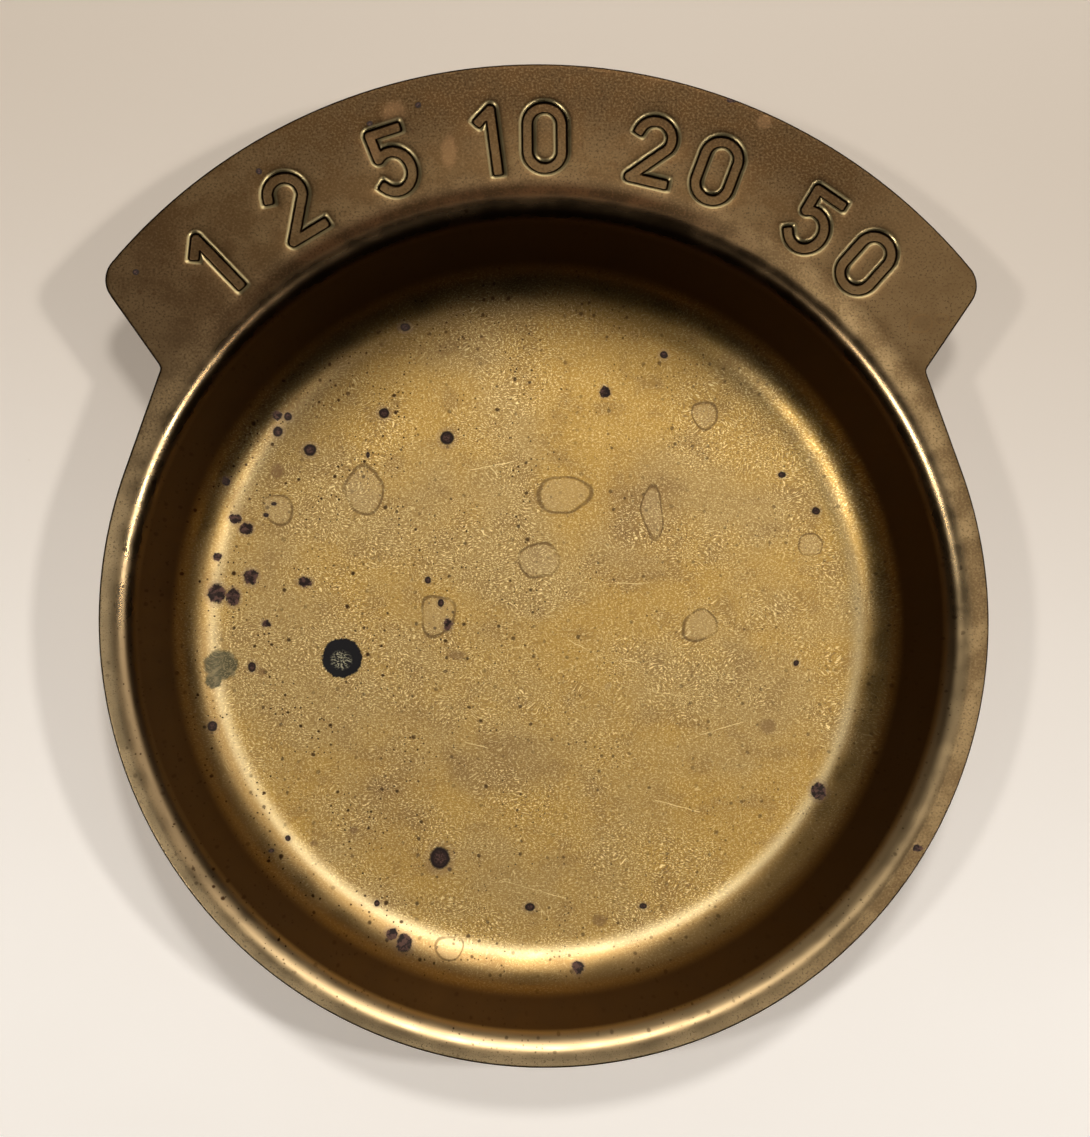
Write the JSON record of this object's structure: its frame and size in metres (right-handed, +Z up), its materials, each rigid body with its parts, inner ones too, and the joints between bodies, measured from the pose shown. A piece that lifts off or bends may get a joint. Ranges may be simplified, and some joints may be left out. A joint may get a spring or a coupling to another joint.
{
  "type": "coin tray",
  "caption": "Shallow round pressed brass dish for loose coins, with a narrow flat rim and a wide arched sign flange on one side.",
  "frame": {"origin": "centre of the round dish, on the flat underside that it stands on", "axes": "+Z up along the dish's axis, +Y towards the middle of the arched sign flange, +X to the reader's right"},
  "size_m": [0.12, 0.1355, 0.015],
  "materials": {
    "aged_brass": "aged satin brass with tarnish spots and fine scratches"
  },
  "bodies": {
    "root": {"dish_pressing": "aged_brass"}
  },
  "joints": []
}
